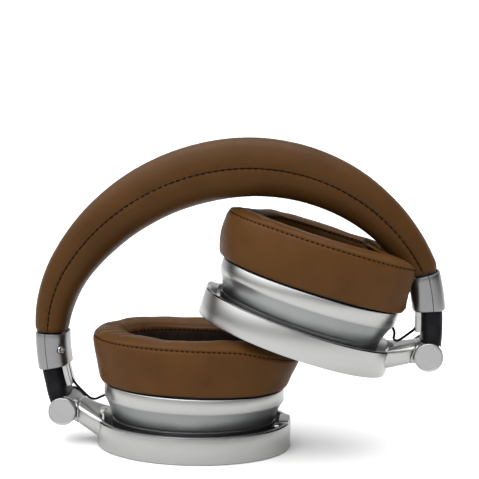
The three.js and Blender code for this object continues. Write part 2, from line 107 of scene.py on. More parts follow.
CUP = {side: cup_frame(side) for side in ("left", "right")}
ARM = {side: arm_frame(side) for side in ("left", "right")}
BAND = placed(CUP["left"].translation, Vector((1, 0, 0)), Vector((0, 1, 0)), Vector((0, 0, 1)))


# ------------------------------------------------------------------ camera
def make_camera():
    data = bpy.data.cameras.new("camera")
    camera = bpy.data.objects.new("camera", data)
    bpy.context.scene.collection.objects.link(camera)
    bpy.context.scene.camera = camera
    data.sensor_width = 36
    data.lens = 83.5
    camera.location = BAND @ Vector((62.5, -501.8, 152.9))
    forward = Vector((-0.08287, 0.99020, -0.11246))
    roll = Quaternion((0, 0, 1), 0.01)
    camera.rotation_euler = (forward.to_track_quat("-Z", "Y") @ roll).to_euler()
    data.clip_start, data.clip_end = 0.05, 50


make_camera()


# ------------------------------------------------------------------ materials
class Nodes:
    """Builds one procedural material around a Principled shader."""

    def __init__(self, name, color, roughness, metallic=0.0, **fixed):
        self.material = bpy.data.materials.new(name)
        self.material.use_nodes = True
        self.tree = self.material.node_tree
        self.shader = self.tree.nodes["Principled BSDF"]
        self.shader.inputs["Base Color"].default_value = (*color, 1)
        self.shader.inputs["Roughness"].default_value = roughness
        self.shader.inputs["Metallic"].default_value = metallic
        for socket, value in fixed.items():
            self.shader.inputs[socket.replace("_", " ")].default_value = value
        self.place = self.add("ShaderNodeTexCoord").outputs["Object"]

    def add(self, kind, inputs=None):
        made = self.tree.nodes.new(kind)
        for key, value in (inputs or {}).items():
            if isinstance(value, bpy.types.NodeSocket):
                self.tree.links.new(value, made.inputs[key])
            else:
                made.inputs[key].default_value = value
        return made

    def noise(self, scale, detail=3.0, stretch=None):
        place = self.place
        if stretch:
            place = self.add("ShaderNodeMapping", {"Vector": place, "Scale": stretch}).outputs[0]
        return self.add("ShaderNodeTexNoise",
                        {"Vector": place, "Scale": scale, "Detail": detail}).outputs["Fac"]

    def cells(self, scale):
        return self.add("ShaderNodeTexVoronoi",
                        {"Vector": self.place, "Scale": scale}).outputs["Distance"]

    def ranged(self, value, low, high):
        return self.add("ShaderNodeMapRange", {"Value": value, "From Min": 0.3, "From Max": 0.7,
                                               "To Min": low, "To Max": high}).outputs[0]

    def roughness(self, value, low, high):
        self.tree.links.new(self.ranged(value, low, high), self.shader.inputs["Roughness"])

    def colors(self, value, dark, light):
        ramp = self.add("ShaderNodeValToRGB", {"Fac": value})
        ramp.color_ramp.elements[0].position, ramp.color_ramp.elements[1].position = 0.3, 0.7
        ramp.color_ramp.elements[0].color = (*dark, 1)
        ramp.color_ramp.elements[1].color = (*light, 1)
        self.tree.links.new(ramp.outputs["Color"], self.shader.inputs["Base Color"])

    def bumps(self, layers):
        """layers: (height socket, strength, distance in metres)."""
        normal = None
        for height, strength, distance in layers:
            inputs = {"Height": height, "Strength": strength, "Distance": distance}
            if normal:
                inputs["Normal"] = normal
            normal = self.add("ShaderNodeBump", inputs).outputs["Normal"]
        self.tree.links.new(normal, self.shader.inputs["Normal"])
        return self.material


def leather(name="brown_leather", tone=1.0):
    n = Nodes(name, (0.05, 0.021, 0.0065), 0.5, Specular_IOR_Level=0.06)
    dark, light = (0.051, 0.0212, 0.0052), (0.064, 0.0272, 0.007)
    n.colors(n.noise(55), [c * tone for c in dark], [c * tone for c in light])
    n.roughness(n.noise(260), 0.4, 0.52)
    return n.bumps([(n.cells(1700), 0.28, 0.00012), (n.noise(900), 0.22, 0.00014),
                    (n.noise(90), 0.18, 0.0004)])


def satin(name="satin_aluminium", color=(0.34, 0.34, 0.336), low=0.29, high=0.33):
    n = Nodes(name, color, 0.32, 1.0)
    n.roughness(n.noise(120), low, high)
    return n.bumps([(n.noise(45, 2), 0.05, 0.0003)])


def brushed():
    n = Nodes("brushed_plate", (0.52, 0.52, 0.52), 0.3, 1.0)
    lines = n.noise(900, 2, (1, 22, 1))
    n.roughness(lines, 0.24, 0.4)
    return n.bumps([(lines, 0.22, 0.00002)])


def polished(name="polished_edge", color=(0.55, 0.55, 0.55)):
    n = Nodes(name, color, 0.08, 1.0)
    n.roughness(n.noise(300), 0.06, 0.12)
    return n.bumps([(n.noise(90, 2), 0.04, 0.0002)])


def moulded(name, color, low, high):
    n = Nodes(name, color, (low + high) / 2, Specular_IOR_Level=0.05)
    n.roughness(n.noise(400), low, high)
    n.colors(n.noise(80), [c * 0.85 for c in color], [c * 1.2 for c in color])
    return n.bumps([(n.cells(3200), 0.16, 0.00003)])


def woven(name, color):
    n = Nodes(name, color, 0.9, Specular_IOR_Level=0.1)
    n.colors(n.noise(300), [c * 0.7 for c in color], [c * 1.5 for c in color])
    return n.bumps([(n.cells(2400), 0.6, 0.0002)])


def thread():
    n = Nodes("dark_thread", (0.005, 0.0022, 0.001), 0.75, Specular_IOR_Level=0.03)
    n.colors(n.noise(700), (0.0035, 0.0016, 0.0008), (0.008, 0.0036, 0.0016))
    return n.bumps([(n.noise(4000, 2), 0.5, 0.00005)])


LEATHER, SATIN, BRUSHED, POLISHED = leather(), satin(), brushed(), polished()
# the headband uses the same brown leather at 0.8 of its tone: painted shade
BAND_LEATHER_PAINTED_SHADE = leather("headband_leather", 0.8)
# the ring's polished chamfer is painted near black: a painted dark reflection along its top edge
RING_CHAMFER_DARK_REFLECTION = polished("chamfer_painted_dark_reflection", (0.07, 0.07, 0.075))
# the cup body is a darker copy of the satin aluminium: painted shade for the dark ring gap it reflects
SHELL_PAINTED_SHADE = satin("shell_aluminium_painted_shade", (0.232, 0.236, 0.237), 0.285, 0.32)
# the collars are a darker copy of the satin aluminium: painted shade
COLLAR = satin("collar_aluminium_painted_shade", (0.19, 0.19, 0.193), 0.3, 0.36)
# the hinge discs are a darker copy of the satin aluminium: painted shade
DISC = satin("disc_aluminium_painted_shade", (0.285, 0.285, 0.285), 0.3, 0.34)
BLACK = moulded("black_plastic", (0.006, 0.006, 0.007), 0.38, 0.48)
RUBBER = moulded("black_cable", (0.008, 0.008, 0.008), 0.5, 0.62)
FOAM = woven("foam", (0.06, 0.06, 0.065))
CLOTH = woven("ear_cloth", (0.007, 0.006, 0.0055))
THREAD = thread()
# the inside of each ear opening: near-black brown cloth that paints in the shade deep in the opening
PAD_INSIDE_PAINTED_SHADE = woven("pad_inside_painted_shade", (0.009, 0.005, 0.003))
CAD_MATERIAL = {
    "brown_leather": LEATHER, "satin_aluminium": SATIN, "plate_aluminium": BRUSHED,
    "black_plastic": BLACK, "black_cable": RUBBER, "foam": FOAM, "ear_cloth": CLOTH,
    "steel": satin("pin_steel", (0.4, 0.4, 0.41), 0.29, 0.36),
    "cone_film": moulded("cone_film", (0.2, 0.19, 0.16), 0.35, 0.5),
    "circuit_board": moulded("circuit_board", (0.02, 0.1, 0.05), 0.35, 0.5),
}
for entry in frame["record"]["subparts"]:
    mesh = frame["nodes"][entry["node"]].data
    mesh.materials.clear()
    mesh.materials.append(CAD_MATERIAL[entry["material_slot"]])


# ------------------------------------------------------------------ mesh helpers
def signed_power(value, power):
    return math.copysign(abs(value) ** power, value)


def oval(a, b, power, t):
    return a * signed_power(math.cos(t), 2 / power), b * signed_power(math.sin(t), 2 / power)


def smoothstep(value, low, high):
    t = min(max((value - low) / (high - low), 0), 1)
    return t * t * (3 - 2 * t)


def spline(points, count):
    """Points evenly spaced in parameter on a Catmull-Rom curve through the given ones."""
    pts = [Vector(p) for p in points]
    pts = [2 * pts[0] - pts[1], *pts, 2 * pts[-1] - pts[-2]]
    made = []
    for i in range(count):
        at = i * (len(pts) - 3) / (count - 1)
        k = min(int(at), len(pts) - 4)
        t = at - k
        a, b, c, d = pts[k:k + 4]
        made.append(0.5 * (2 * b + (c - a) * t + (2 * a - 5 * b + 4 * c - d) * t * t
                           + (3 * b - a - 3 * c + d) * t ** 3))
    return made


def rounded(corners, radius, steps=3):
    """A closed outline with its corners turned into short arcs."""
    made = []
    for i, corner in enumerate(corners):
        p = Vector(corner)
        into, out = Vector(corners[i - 1]) - p, Vector(corners[(i + 1) % len(corners)]) - p
        cut = min(radius, into.length * 0.45, out.length * 0.45)
        a, b = p + into.normalized() * cut, p + out.normalized() * cut
        for k in range(steps + 1):
            t = k / steps
            made.append((1 - t) ** 2 * a + 2 * t * (1 - t) * p + t * t * b)
    return made


def piece(name, verts, faces, matrix, body, material, nodes=(), slot=None, extra=()):
    """A shown mesh: local mm points placed in the row frame, riding on its body."""
    mesh = bpy.data.meshes.new(name)
    mesh.from_pydata([matrix @ Vector(v) for v in verts], [], faces)
    bm = bmesh.new()
    bm.from_mesh(mesh)
    bmesh.ops.recalc_face_normals(bm, faces=bm.faces)
    for edge in bm.edges:
        if len(edge.link_faces) == 2 and edge.calc_face_angle(0) > math.radians(38):
            edge.smooth = False
    for face in bm.faces:
        face.smooth = True
    bm.to_mesh(mesh)
    bm.free()
    obj = bpy.data.objects.new(name, mesh)
    bpy.context.scene.collection.objects.link(obj)
    for m in (material, *extra):
        mesh.materials.append(m)
    if body:
        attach(obj, body)
    if nodes:
        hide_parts(*nodes)
    return obj


def loft(rows, ring=False):
    """Faces through equal closed rows; the ends are capped unless the rows run into a ring."""
    n, count = len(rows[0]), len(rows)
    verts = [v for row in rows for v in row]
    faces = []
    for i in range(count if ring else count - 1):
        nxt = (i + 1) % count
        for j in range(n):
            k = (j + 1) % n
            faces.append((i * n + j, i * n + k, nxt * n + k, nxt * n + j))
    if not ring:
        faces += [tuple(reversed(range(n))), tuple(range((count - 1) * n, count * n))]
    return verts, faces


def turned(profile, segments=160, slope=False, centre=False):
    """A closed (radius, height) outline turned into the cup's ellipse, or a disc if centre."""
    rows = []
    for i in range(segments):
        t = 2 * math.pi * i / segments
        row = [Vector((r * math.cos(t), r * ASPECT * math.sin(t), z)) for r, z in profile]
        rows.append([sloped(v) if slope else v for v in row])
    if not centre:
        return loft(rows, ring=True)
    n = len(profile)
    verts = [v for row in rows for v in row]
    faces = []
    for i in range(segments):
        nxt = (i + 1) % segments
        faces += [(i * n + j, i * n + j + 1, nxt * n + j + 1, nxt * n + j) for j in range(n - 1)]
    for end in (0, n - 1):
        faces.append(tuple(i * n + end for i in range(segments)))
    return verts, faces


def sloped(v):
    share = min(max((v.z - 13) / 13, 0), 1)
    return Vector((v.x, v.y, v.z - PAD_TILT * v.x * share))


def barrel(profile, segments=72):
    """A solid of revolution about Y: profile of (y, radius), closed by its end faces."""
    rows = [[Vector((r * math.cos(2 * math.pi * k / segments), y,
                     r * math.sin(2 * math.pi * k / segments)))
             for k in range(segments)] for y, r in profile]
    return loft(rows)


def tube(points, radius, sides=12):
    """A round cord along the points, drawn in a little at its two ends."""
    rows = []
    up = Vector((0, 1, 0))
    for i, p in enumerate(points):
        way = (points[min(i + 1, len(points) - 1)] - points[max(i - 1, 0)]).normalized()
        side = way.cross(up).normalized()
        over = side.cross(way).normalized()
        last = i in (0, len(points) - 1)
        r = radius * (0.7 if last else 1)
        rows.append([p + (side * math.cos(2 * math.pi * k / sides)
                          + over * math.sin(2 * math.pi * k / sides)) * r for k in range(sides)])
    return loft(rows)


def merged(parts):
    verts, faces = [], []
    for v, f in parts:
        faces += [tuple(i + len(verts) for i in face) for face in f]
        verts += v
    return verts, faces


def cut(obj, tool):
    """Cuts tool from obj for good, and removes the tool."""
    modifier = obj.modifiers.new("cut", "BOOLEAN")
    modifier.object, modifier.operation, modifier.solver = tool, "DIFFERENCE", "EXACT"
    bpy.context.view_layer.update()
    done = bpy.data.meshes.new_from_object(obj.evaluated_get(bpy.context.evaluated_depsgraph_get()))
    obj.modifiers.clear()
    obj.data = done
    bpy.data.objects.remove(tool)


def stitches(line, normals, pitch=STITCH_PITCH, length=1.9, radius=0.3, sink=0.05):
    """Short dashes of thread along a line, each a little capsule laid into the leather."""
    parts, run, due = [], 0.0, pitch / 2
    for i in range(len(line) - 1):
        step = (line[i + 1] - line[i]).length
        while step > 1e-6 and run + step >= due:
            share = (due - run) / step
            at = line[i].lerp(line[i + 1], share)
            way = (line[i + 1] - line[i]).normalized()
            out = normals[i].normalized()
            ends = [(-0.5, 0.25, -0.3), (-0.38, 0.85, 0.1), (0, 1, 0.22), (0.38, 0.85, 0.1),
                    (0.5, 0.25, -0.3)]
            side = way.cross(out).normalized()
            rows = []
            for along, fat, lift in ends:
                middle = at + way * along * length + out * (radius * lift - sink)
                rows.append([middle + (side * math.cos(a) + out * math.sin(a)) * radius * fat
                             for a in (k * math.pi / 4 for k in range(8))])
            parts.append(loft(rows))
            due += pitch
        run += step
    return merged(parts)


# ------------------------------------------------------------------ headband
def band_path(steps):
    total = sum(r * math.radians(d) for r, d in BAND_ARCS)
    stations = []
    for i in range(steps + 1):
        left, heading = total * i / steps, BAND_HEADING
        at = Vector(BAND_START)
        for r, degrees in BAND_ARCS:
            run = min(left, r * math.radians(degrees))
            turn = run / r
            chord = 2 * r * math.sin(turn / 2)
            at = at + chord * Vector((math.cos(heading - turn / 2), math.sin(heading - turn / 2)))
            heading -= turn
            left -= run
            if left <= 1e-9:
                break
        stations.append((at, heading, i / steps, total * i / steps))
    return stations, total


BAND_STEPS = 300
STATIONS, BAND_LENGTH = band_path(BAND_STEPS)


def band_half_sizes(share, run):
    swell = math.cos(abs(share * 2 - 1) * math.pi / 2)
    t, w = (a + (b - a) * swell for a, b in zip(BAND_END, BAND_MID))
    tuck = min(run, BAND_LENGTH - run)           # the leather rolls in where it enters a collar
    pull = 1 - 0.07 * (1 - smoothstep(tuck, 0, 2.4)) ** 2
    return t / 2 * pull, w / 2 * pull


def band_point(station, n, y):
    at, heading = station[:2]
    return Vector((at.x - n * math.sin(heading), y, at.y + n * math.cos(heading)))


def band_surface(station, t, w, angle):
    """A point on the padded leather: full between the seams, drawn in by stitches near them."""
    n, y = oval(t, w, BAND_POWER, angle)
    off_seam = abs(n)
    run = station[3]
    draw = 0.42 * math.exp(-(off_seam / 0.6) ** 2)
    beside = math.exp(-((off_seam - 1.2) / 1.4) ** 2)
    ripple = 0.09 * math.cos(2 * math.pi * run / STITCH_PITCH) * beside
    soft = 0.14 * noise.noise(Vector((run * 0.05, n * 0.09, y * 0.09)))
    size = math.hypot(n, y)
    grow = 1 + (soft + ripple - draw) / size
    lift = math.copysign(BAND_SEAM_GAP, n if off_seam > 1e-6 else 1)
    return band_point(station, n * grow + lift * math.exp(-(off_seam / 0.5) ** 2), y * grow)


def leather_half(upper):
    sign = 1 if upper else -1
    rows = []
    count = 46
    for station in STATIONS:
        t, w = band_half_sizes(station[2], station[3])
        edge = math.pi / 2 - 0.004
        row = []
        for k in range(count + 1):
            q = k / count * 2 - 1
            angle = edge * signed_power(abs(q), 0.92) * (1 if q >= 0 else -1)
            at_angle = angle if upper else math.pi - angle
            row.append(band_surface(station, t, w, at_angle))
        inside = [band_point(station, sign * 0.5, y * (w - 2.2)) for y in (1, 0, -1)]
        rows.append(row + (inside if row[-1].y > 0 else inside[::-1]))
    name = "headband_leather_" + ("upper" if upper else "lower")
    node = "headband_top_leather" if upper else "headband_lower_leather"
    obj = piece(name, *loft(rows), BAND, "headband", BAND_LEATHER_PAINTED_SHADE, [node], "brown_leather")


def band_stitching():
    parts = []
    for side in (-1, 1):
        line, out = [], []
        for station in STATIONS[3:-3]:
            w = band_half_sizes(station[2], station[3])[1]
            line.append(band_point(station, 0, side * (w - 0.3)))
            out.append(Vector((0, side, 0)))
        parts.append(stitches(line, out))
    piece("headband_stitching", *merged(parts), BAND, "headband", THREAD)


# ------------------------------------------------------------------ arm, collar and hinge
ARC_CENTRE = Vector((math.cos(ARM_LEAN), math.sin(ARM_LEAN))) * (ARM_R + ARM_OFFSET)


def on_arm(s, n, y):
    angle = ARM_LEAN - s / ARM_R
    r = ARM_R + n
    return Vector((ARC_CENTRE.x - r * math.cos(angle), y, ARC_CENTRE.y - r * math.sin(angle)))


def half_outline(inset, beyond, count=26):
    outer = (COLLAR_T / 2 - inset, COLLAR_W / 2 - inset)
    inner = (COLLAR_T / 2 - COLLAR_WALL, COLLAR_W / 2 - 1.7)
    limit = COLLAR_SPLIT + (0.13 if beyond else -0.13)

    def arc(size, power):
        edge = math.acos(signed_power(limit / size[0], power / 2))
        start, stop = (-edge, edge) if beyond else (edge, 2 * math.pi - edge)
        return [oval(*size, power, start + (stop - start) * i / (count - 1)) for i in range(count)]
    return arc(outer, 3) + arc(inner, 4)[::-1]


def collar(side):
    # (arc length, inset): a rolled lower edge and a crisp upper rim
    ends = [(0, 0.85), (0.02, 0.55), (0.25, 0.22), (0.7, 0.04), (1.2, 0)]
    low = [(COLLAR_LOW + s, inset) for s, inset in ends]
    middle = [(COLLAR_LOW + 1.2 + (COLLAR_TOP - COLLAR_LOW - 1.9) * i / 8, 0) for i in range(1, 8)]
    high = [(COLLAR_TOP - 0.5, 0), (COLLAR_TOP - 0.2, 0.1), (COLLAR_TOP, 0.42)]
    for beyond, label in ((True, "outer"), (False, "inner")):
        rows = [[on_arm(s, n, y) for n, y in half_outline(inset, beyond)]
                for s, inset in low + middle + high]
        obj = piece(f"{side}_collar_{label}_shell", *loft(rows), ARM[side], None, COLLAR)
        if not beyond:
            cut(obj, screw_tool(side))
        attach(obj, "headband")
        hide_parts(f"{side}_collar_{label}")


SCREW = (28.5, -5.2, -8.35)


def screw_axis():
    middle = on_arm(*SCREW)
    return middle, (on_arm(SCREW[0], SCREW[1] - 0.62, SCREW[2] - 0.78) - middle).normalized()


def screw_rows(profile, sides=28):
    """A turned shape about the screw's axis: (height, radius)."""
    middle, out = screw_axis()
    u = out.orthogonal().normalized()
    v = out.cross(u)
    return [[middle + out * h + (u * math.cos(2 * math.pi * k / sides)
                                 + v * math.sin(2 * math.pi * k / sides)) * r
             for k in range(sides)] for h, r in profile]


def screw_tool(side):
    return piece("screw_tool", *loft(screw_rows([(-4, 1.75), (0.35, 1.75), (4, 1.95)])),
                 ARM[side], None, SATIN)


def screw(side):
    profile = [(-1.3, 0.85), (0.25, 0.85), (0.25, 1.5), (0.55, 1.55), (0.7, 1.4), (0.7, 0.75)]
    recess = screw_rows([(0.7, 0.7), (0.1, 0.68)])
    piece(f"{side}_screw_head", *loft(screw_rows(profile) + recess), ARM[side], "headband",
          POLISHED, [f"{side}_collar_screw"], "steel")


def arm_outline(s, count=56):
    half = 4.7
    widen = min(max((15 - s) / 8, 0), 1)
    side = ARM_HALF + (CHEEK_OUT - ARM_HALF) * smoothstep(widen, 0, 1)
    return [(n + 1.3, y) for n, y in
            (oval(half, side, 3.2, 2 * math.pi * i / count) for i in range(count))]


def arm(side):
    rows = [[on_arm(s, n, y) for n, y in arm_outline(s)]
            for s in (-1 + 37 * i / 44 for i in range(45))]
    obj = piece(f"{side}_arm_body", *loft(rows), ARM[side], None, BLACK)
    room = KNUCKLE_HALF + 0.3
    tool = piece("room", *barrel([(-room, KNUCKLE_R + 0.6), (room, KNUCKLE_R + 0.6)]),
                 ARM[side], None, BLACK)
    cut(obj, tool)
    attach(obj, f"{side}_arm")
    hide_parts(f"{side}_slider_arm")
    for way, label in ((-1, "front"), (1, "rear")):
        cheek = [(KNUCKLE_HALF + 0.3, KNUCKLE_R - 0.1), (KNUCKLE_HALF + 0.4, KNUCKLE_R),
                 (CHEEK_OUT - 0.1, KNUCKLE_R), (CHEEK_OUT, KNUCKLE_R - 0.15)]
        cheek = [(way * y, r) for y, r in cheek]
        piece(f"{side}_arm_cheek_{label}", *barrel(cheek), ARM[side], f"{side}_arm", BLACK,
              [f"{side}_slider_arm"], "black_plastic")
        spacer = [(way * (CHEEK_OUT + 0.02), 6.5), (way * (CHEEK_OUT + 0.5), 6.5)]
        piece(f"{side}_hinge_spacer_{label}", *barrel(spacer), ARM[side], f"{side}_arm", RUBBER)
        low, high = CHEEK_OUT + 0.3, CAP_OUT
        cap = [(low + 0.1, 5.9), (low + 0.3, CAP_R), (high - 0.55, CAP_R),
               (high - 0.2, CAP_R - 0.1), (high, CAP_R - 0.38), (high, CAP_R - 0.62),
               (high - 0.1, CAP_R - 0.74), (high - 0.1, 0.02)]
        piece(f"{side}_hinge_disc_{label}", *barrel([(way * y, r) for y, r in cap], 96), ARM[side],
              f"{side}_arm", DISC, [f"{side}_hinge_cap_{label}"], "satin_aluminium")


def rail(side):
    out, into, half = -3.7, -6, 4
    # the middle slot carries the lead, and two fine lines run along each side of it
    profile = [(out, -half), (out, half), (into + 0.25, half), (into, half - 0.25)]
    for edge, depth in ((2.6, 0.35), (0.9, 1.3), (-0.9, 1.3), (-2.6, 0.35)):
        if abs(edge) > 2:
            profile += [(into, edge + 0.2), (into + depth, edge + 0.1),
                        (into + depth, edge - 0.1), (into, edge - 0.2)]
        else:
            profile += [(into, edge), (into + depth, edge)] if edge > 0 else [
                (into + depth, edge), (into, edge)]
    profile += [(into, -half + 0.25), (into + 0.25, -half)]
    rows = [[on_arm(s, n, y) for n, y in profile]
            for s in (9.5 + (ARM_TOP - 10.5) * i / 36 for i in range(37))]
    piece(f"{side}_rail", *loft(rows), ARM[side], f"{side}_arm", SATIN,
          [f"{side}_slider_rail"], "satin_aluminium")


# ------------------------------------------------------------------ yoke
def yoke(side):
    body, node = f"{side}_fork", [f"{side}_yoke"]
    inner = RING_A - RING_WALL
    profile = [(inner, 0.5), (inner + 0.35, 0.05), (inner + 0.6, 0), (RING_A - 0.6, 0),
               (RING_A - 0.2, 0.12), (RING_A, 0.5), (RING_A, 5), (RING_A, RING_H - 0.52),
               (RING_A - 0.04, RING_H - 0.44), (RING_A - 0.36, RING_H - 0.06),
               (RING_A - 0.46, RING_H), (inner + 0.3, RING_H), (inner, RING_H - 0.3)]
    verts, faces = turned(profile, segments=220)
    ring = piece(f"{side}_yoke_ring", verts, faces, CUP[side], body, SATIN, node,
                 "satin_aluminium", [RING_CHAMFER_DARK_REFLECTION])
    n = len(profile)
    # the chamfer faces get the near-black material, the painted dark reflection
    for polygon in ring.data.polygons:
        rows = sorted(i % n for i in polygon.vertices)
        if rows[0] in (7, 8, 9) and rows[-1] in (8, 9, 10):
            polygon.material_index = 1

    # the boss at the far end follows the ring's own curve and stands above its edge
    rows = []
    for i in range(21):
        y = -6.4 + 12.8 * i / 20
        edge = min(1.0, (6.4 - abs(y)) / 0.5)
        top = RING_H + BOSS_RISE - 0.35 * (1 - edge) ** 2
        outer = (RING_A - 0.12) * math.sqrt(1 - (y / (RING_A * ASPECT)) ** 2)
        rows.append([Vector((x, y, z)) for x, z in rounded(
            [(39.8, 4), (outer, 4), (outer, top), (39.8, top)], 0.5)])
    piece(f"{side}_yoke_boss", *loft(rows), CUP[side], body, SATIN, node, "satin_aluminium")

    # the neck runs from the knuckle down into the ring's near end: x, low z, high z, half width
    steps = [(-59.7, 10.6, 21.4, 8.1), (-57, 10.4, 21.2, 8.1), (-54, 9.3, 20.1, 8.3),
             (-50.5, 7.4, 18, 9.2), (-47, 5.1, 15.9, 11), (-44, 3.4, 14.2, 13.4)]
    rows = []
    for x, low, high, half in spline4(steps, 70):
        row, share = [], smoothstep(x, -54, -44)
        groove = 0.45 * math.exp(-((x + 53) / 0.22) ** 2)      # a turned line beside the knuckle
        low, high, half = low + groove, high - groove, half - groove
        for k in range(60):
            z, y = oval((high - low) / 2, half, 3.6, 2 * math.pi * k / 60)
            bend = 44 * (1 - math.sqrt(1 - (y / (44 * ASPECT)) ** 2))
            row.append(Vector((x + bend * share, y, z + (low + high) / 2)))
        rows.append(row)
    piece(f"{side}_yoke_neck", *loft(rows), CUP[side], body, SATIN, node, "satin_aluminium")

    # the knuckle's top is finely ribbed along the hinge axis
    rows = []
    for y, inset in ((-KNUCKLE_HALF, 0.3), (-KNUCKLE_HALF + 0.25, 0), (KNUCKLE_HALF - 0.25, 0),
                     (KNUCKLE_HALF, 0.3)):
        row = []
        for k in range(360):
            a = 2 * math.pi * k / 360
            ribbed = smoothstep(math.sin(a), -0.1, 0.15)
            r = KNUCKLE_R - inset - ribbed * (0.24 if k % 10 < 4 else 0)
            row.append(Vector((HINGE_X + r * math.cos(a), y, HINGE_Z + r * math.sin(a))))
        rows.append(row)
    piece(f"{side}_yoke_knuckle", *loft(rows), CUP[side], body, SATIN, node, "satin_aluminium")

    # a small satin saddle stands where the neck meets the ring
    rows = []
    for i in range(25):
        y = -7.2 + 14.4 * i / 24
        fall = 1 - (abs(y) / 7.2) ** 3
        outer = -(RING_A - 0.3) * math.sqrt(1 - (y / (RING_A * ASPECT)) ** 2)
        top = RING_H - 0.6 + 3.6 * max(fall, 0)
        rows.append([Vector((x, y, z)) for x, z in rounded(
            [(outer, 9), (-40.9, 9), (-40.9, top), (outer + 0.4, top)], 0.7)])
    piece(f"{side}_yoke_saddle", *loft(rows), CUP[side], body, SATIN, node, "satin_aluminium")


def spline4(points, count):
    """A Catmull-Rom curve through four-number points, taken two numbers at a time."""
    first = spline([p[:2] for p in points], count)
    second = spline([p[2:] for p in points], count)
    return [(a.x, a.y, b.x, b.y) for a, b in zip(first, second)]


# ------------------------------------------------------------------ cup
def cup(side):
    body = f"{side}_cup"
    flare = spline([(37.9, 4.3), (37.9, 8), (37.9, 12), (38.15, 14.4), (38.95, 17), (40.2, 19.9),
                    (41.6, 22.4)], 30)
    groove = [Vector(p) for p in ((37.9, 12.7), (37.55, 12.9), (37.55, 13.2), (37.93, 13.4))]
    lower = [p for p in flare if p.y < 12.6]
    upper = [p for p in flare if p.y > 13.5]
    top = [Vector(p) for p in ((41.8, 22.75), (41.8, 25), (41.8, 28.35), (41.65, 28.62),
                               (41.4, 28.75), (40.1, 28.8))]
    back = [Vector(p) for p in ((40, 28.7), (40, 26.2), (39.2, 24.6), (37.6, 21), (36.4, 17),
                                (36.1, 12), (36.1, 4.1), (37.6, 4), (37.85, 4.1))]
    profile = lower + groove + upper + top + back
    obj = piece(f"{side}_cup_body", *turned(profile, segments=220, slope=True), CUP[side], None,
                SHELL_PAINTED_SHADE, extra=[SATIN])
    # the flange band keeps the lighter satin; the body below it takes the copy with painted shade
    n = len(profile)
    flange = len(lower + groove + upper) - 2
    for polygon in obj.data.polygons:
        if all(flange <= i % n <= flange + len(top) + 1 for i in polygon.vertices):
            polygon.material_index = 1
    # the lead's entry is a short slot, so that the cup can swivel round the lead
    slot = [oval(2.3, 1.0, 3, 2 * math.pi * k / 32) for k in range(32)]
    hole = [[Vector((x, y, z + LEAD_ENTRY_Z)) for y, z in slot] for x in (-44, -35)]
    cut(obj, piece("tool", *loft(hole), CUP[side], None, SATIN))
    if side == "left":
        cut(obj, piece("tool", *socket_rows([(30, 3.3), (44, 3.3)]), CUP[side], None, SATIN))
    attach(obj, body)
    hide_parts(f"{side}_cup_shell")
    block = rounded([(-41.3, 5.2), (-36.8, 5.2), (-36.8, 15), (-41.3, 15)], 0.8)
    lug = [[Vector((x, y, z)) for x, z in block] for y in (-4.9, -4.6, 4.6, 4.9)]
    piece(f"{side}_cup_lug", *loft(lug), CUP[side], body, SATIN, [f"{side}_cup_shell"],
          "satin_aluminium")
    r = 35.8
    plate = [(r, 6.2), (r, 3.95), (r - 0.15, 3.75), (r - 2, 3.7), (r - 2.6, 3.95), (r - 3.1, 4.55),
             (r - 3.4, 4.6), (0.05, 4.6)]
    piece(f"{side}_cup_plate", *turned(plate, centre=True), CUP[side], body, BRUSHED,
          [f"{side}_back_plate"], "plate_aluminium")
    gasket = rounded([(31.5, 29.15), (41.3, 29.15), (41.3, 30.3), (31.5, 30.3)], 0.25)
    piece(f"{side}_gasket", *turned(gasket, slope=True), CUP[side], body, BLACK,
          [f"{side}_pad_ring"], "black_plastic")
    cloth_rows = [(31, 29.15), (31, 29.6)] + [(31 - 31 * k / 12 + 0.03, 29.68 + 0.5 * math.sin(
        math.pi / 2 * k / 12)) for k in range(1, 13)]
    piece(f"{side}_grille_cloth", *turned(cloth_rows, slope=True, centre=True), CUP[side], body,
          CLOTH, [f"{side}_ear_cloth"], "ear_cloth")


def socket_rows(profile, sides=48):
    turn = math.radians(28)
    way = Vector((math.cos(turn), math.sin(turn), 0))
    side = Vector((-math.sin(turn), math.cos(turn), 0))
    return loft([[way * x + side * r * math.cos(a) + Vector((0, 0, 19 + r * math.sin(a)))
                  for a in (2 * math.pi * k / sides for k in range(sides))] for x, r in profile])


def audio_socket():
    profile = [(29, 4.1), (30.7, 4.1), (30.8, 3.0), (39.1, 3.0), (39.5, 2.75), (39.5, 2.1),
               (39.2, 1.75), (32.2, 1.75), (32, 1.6)]
    piece("left_socket_barrel", *socket_rows(profile), CUP["left"], "left_cup", BLACK,
          ["left_audio_socket"], "black_plastic")


# ------------------------------------------------------------------ ear pads
# share of the way from the outer outline to the ear opening, and share of the height
PAD_SIDE = {
    "left": [(0.6, 0), (0.3, 0), (0.225, -0.03), (0.17, 0.04), (0.115, 0.28), (0.05, 0.52),
             (0.012, 0.72)],
    "right": [(0.6, 0), (0.3, 0), (0.19, -0.03), (0.115, 0.03), (0.045, 0.22), (0, 0.45),
              (-0.003, 0.7)]}
PAD_CROWN = [(0.02, 0.855), (0.075, 0.915), (0.16, 0.955), (0.3, 0.99), (0.5, 1.0), (0.68, 0.97)]
PAD_LIP = {"left": [(0.8, 0.9), (0.87, 0.82)], "right": [(0.78, 0.94), (0.85, 0.89)]}
PAD_INSIDE = [(0.95, 0.54), (0.94, 0.24), (0.85, 0.02)]
OUTER_SEAM, INNER_SEAM = 7, 14           # places in the section where panels are sewn
